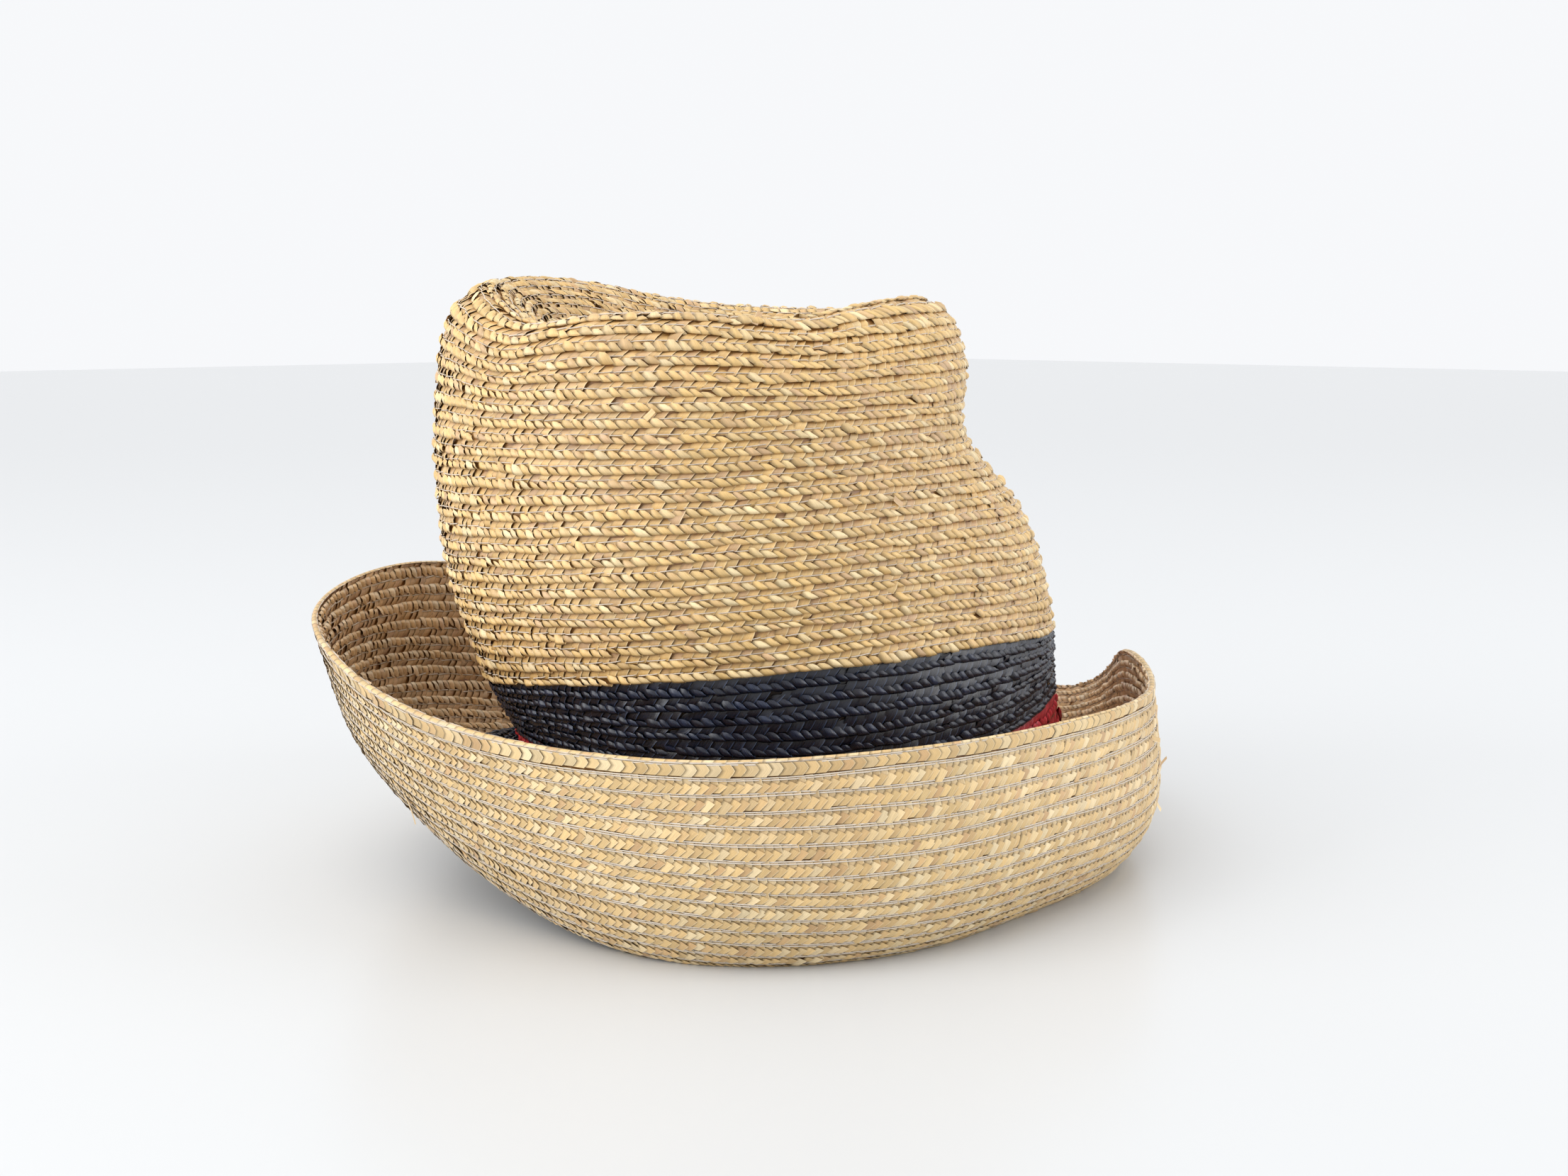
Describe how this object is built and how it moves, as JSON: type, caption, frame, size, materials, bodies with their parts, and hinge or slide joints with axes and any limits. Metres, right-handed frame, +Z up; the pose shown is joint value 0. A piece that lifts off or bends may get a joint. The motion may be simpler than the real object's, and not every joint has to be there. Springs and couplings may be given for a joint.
{
  "type": "soft straw hat",
  "caption": "Soft hat sewn from straw braid, with a creased and pinched tall crown, navy and red stripes and a wide upturned brim.",
  "frame": {"origin": "centre of the hat's outline seen from above, on the surface that it stands on", "axes": "+X to the front of the hat, +Y to the wearer's left, +Z up"},
  "size_m": [0.3238, 0.2762, 0.205],
  "materials": {
    "straw": "plaited natural wheat straw, satin, varying from golden to pale cream leaf by leaf",
    "navy_straw": "plaited straw dyed near-black navy, glossy on the edges of the leaves",
    "red_straw": "plaited straw dyed red, satin"
  },
  "bodies": {
    "root": {"crown_top": "straw", "crown_side": "straw", "navy_stripe": "navy_straw", "red_stripe": "red_straw", "brim_stripe": "navy_straw", "brim": "straw", "brim_turnup": "straw"}
  },
  "joints": []
}
